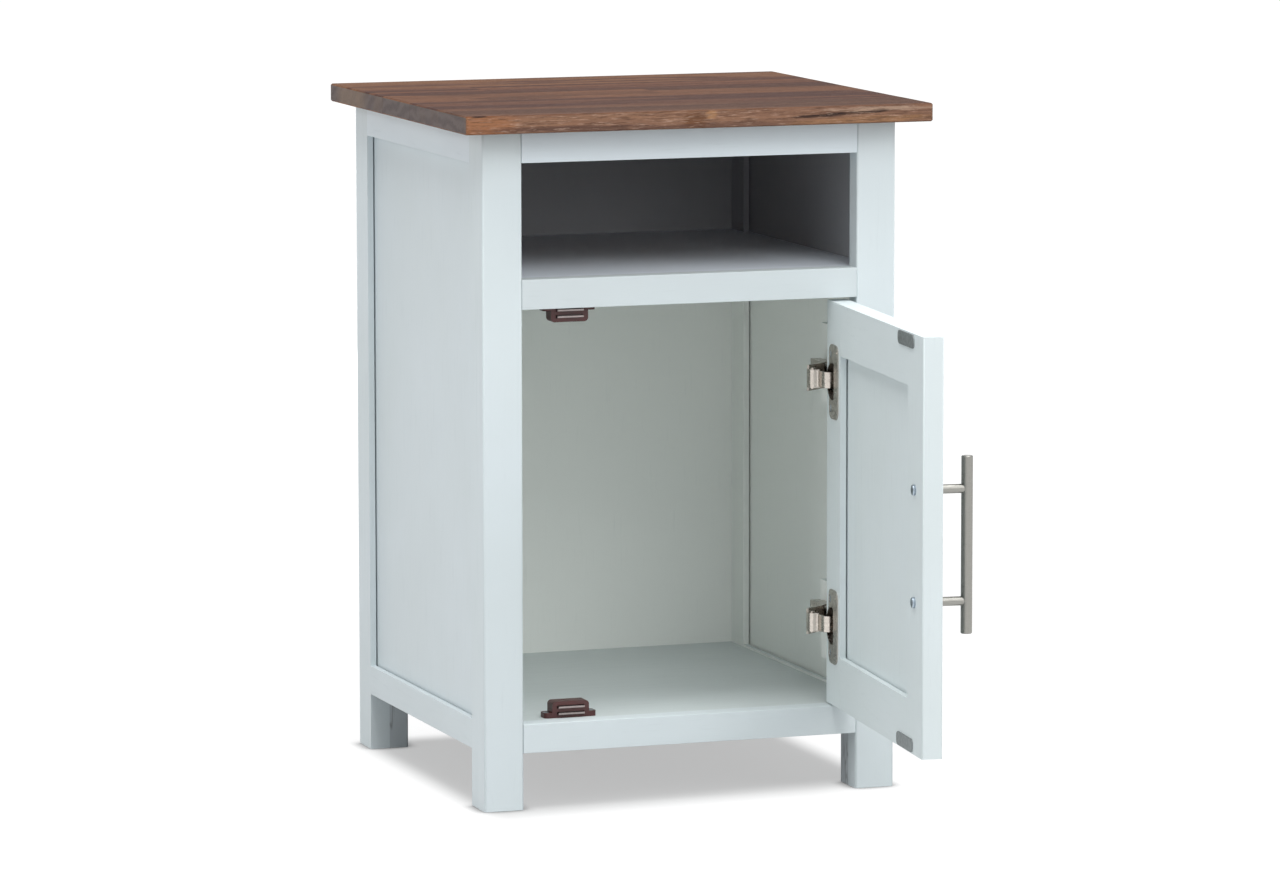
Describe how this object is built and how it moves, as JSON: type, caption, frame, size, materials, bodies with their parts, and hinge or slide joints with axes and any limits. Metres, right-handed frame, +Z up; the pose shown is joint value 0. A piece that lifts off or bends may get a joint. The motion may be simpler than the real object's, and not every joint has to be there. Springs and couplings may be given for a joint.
{
  "type": "storage side table with door",
  "caption": "Painted side table with a brown timber top, an open compartment above a cupboard, and a panelled door with a bar handle on concealed hinges.",
  "frame": {"origin": "on the floor, midway between the sides; in depth it is the middle of the whole object as stored, with the door open, so the legs' front faces are 41.9 mm in front of it and the back 330.1 mm behind it", "axes": "+X to the right seen from the front, +Y towards the back, +Z up"},
  "size_m": [0.43, 0.6602, 0.61],
  "materials": {
    "painted_timber": "solid timber with a satin white paint",
    "painted_board": "thin board with a satin white paint",
    "timber_top": "oiled brown timber in edge-glued staves",
    "brushed_handle": "brushed",
    "zinc_screws": "zinc plated",
    "plated_hinge": "satin nickel plate",
    "catch_plastic": "moulded",
    "catch_steel": "zinc plated",
    "strike_steel": "matt zinc plated"
  },
  "bodies": {
    "cabinet": {"back_bottom_rail": "painted_timber", "back_panel": "painted_board", "back_top_rail": "painted_timber", "bottom_shelf": "painted_timber", "bottom_shelf_cleats": "painted_timber", "catch_magnets": "catch_steel", "catch_packer": "painted_timber", "catch_screws": "zinc_screws", "front_bottom_rail": "painted_timber", "front_foot_blocks": "painted_timber", "front_leg_left": "painted_timber", "front_leg_right": "painted_timber", "front_middle_rail": "painted_timber", "front_side_stile_left": "painted_timber", "front_side_stile_right": "painted_timber", "front_top_rail": "painted_timber", "hinge_plate_screws": "zinc_screws", "lower_catch_housing": "catch_plastic", "lower_catch_poles": "catch_steel", "lower_hinge_arm": "plated_hinge", "lower_hinge_block": "painted_timber", "lower_hinge_plate": "plated_hinge", "middle_shelf": "painted_timber", "middle_shelf_cleats": "painted_timber", "rear_foot_blocks": "painted_timber", "rear_side_stile_left": "painted_timber", "rear_side_stile_right": "painted_timber", "side_bottom_rail_left": "painted_timber", "side_bottom_rail_right": "painted_timber", "side_panel_left": "painted_timber", "side_panel_right": "painted_timber", "side_top_rail_left": "painted_timber", "side_top_rail_right": "painted_timber", "top_cleat_left": "painted_timber", "top_cleat_right": "painted_timber", "top_screws": "zinc_screws", "top_stave_1": "timber_top", "top_stave_2": "timber_top", "top_stave_3": "timber_top", "top_stave_4": "timber_top", "top_stave_5": "timber_top", "upper_catch_housing": "catch_plastic", "upper_catch_poles": "catch_steel", "upper_hinge_arm": "plated_hinge", "upper_hinge_block": "painted_timber", "upper_hinge_plate": "plated_hinge"},
    "door": {"door_hinge_stile": "painted_timber", "door_handle_stile": "painted_timber", "door_top_rail": "painted_timber", "door_bottom_rail": "painted_timber", "door_panel": "painted_timber", "upper_hinge_cup": "plated_hinge", "lower_hinge_cup": "plated_hinge", "hinge_pins": "plated_hinge", "flange_screws": "zinc_screws", "handle_bar": "brushed_handle", "handle_posts": "brushed_handle", "handle_screws": "zinc_screws", "strike_plates": "strike_steel"}
  },
  "joints": [
    {"name": "door_swing", "type": "hinge", "parent": "cabinet", "child": "door", "pos_m": [0.1436, -0.0349, 0], "axis": [0, 0, 1], "range_deg": [-84.35, 10]}
  ]
}
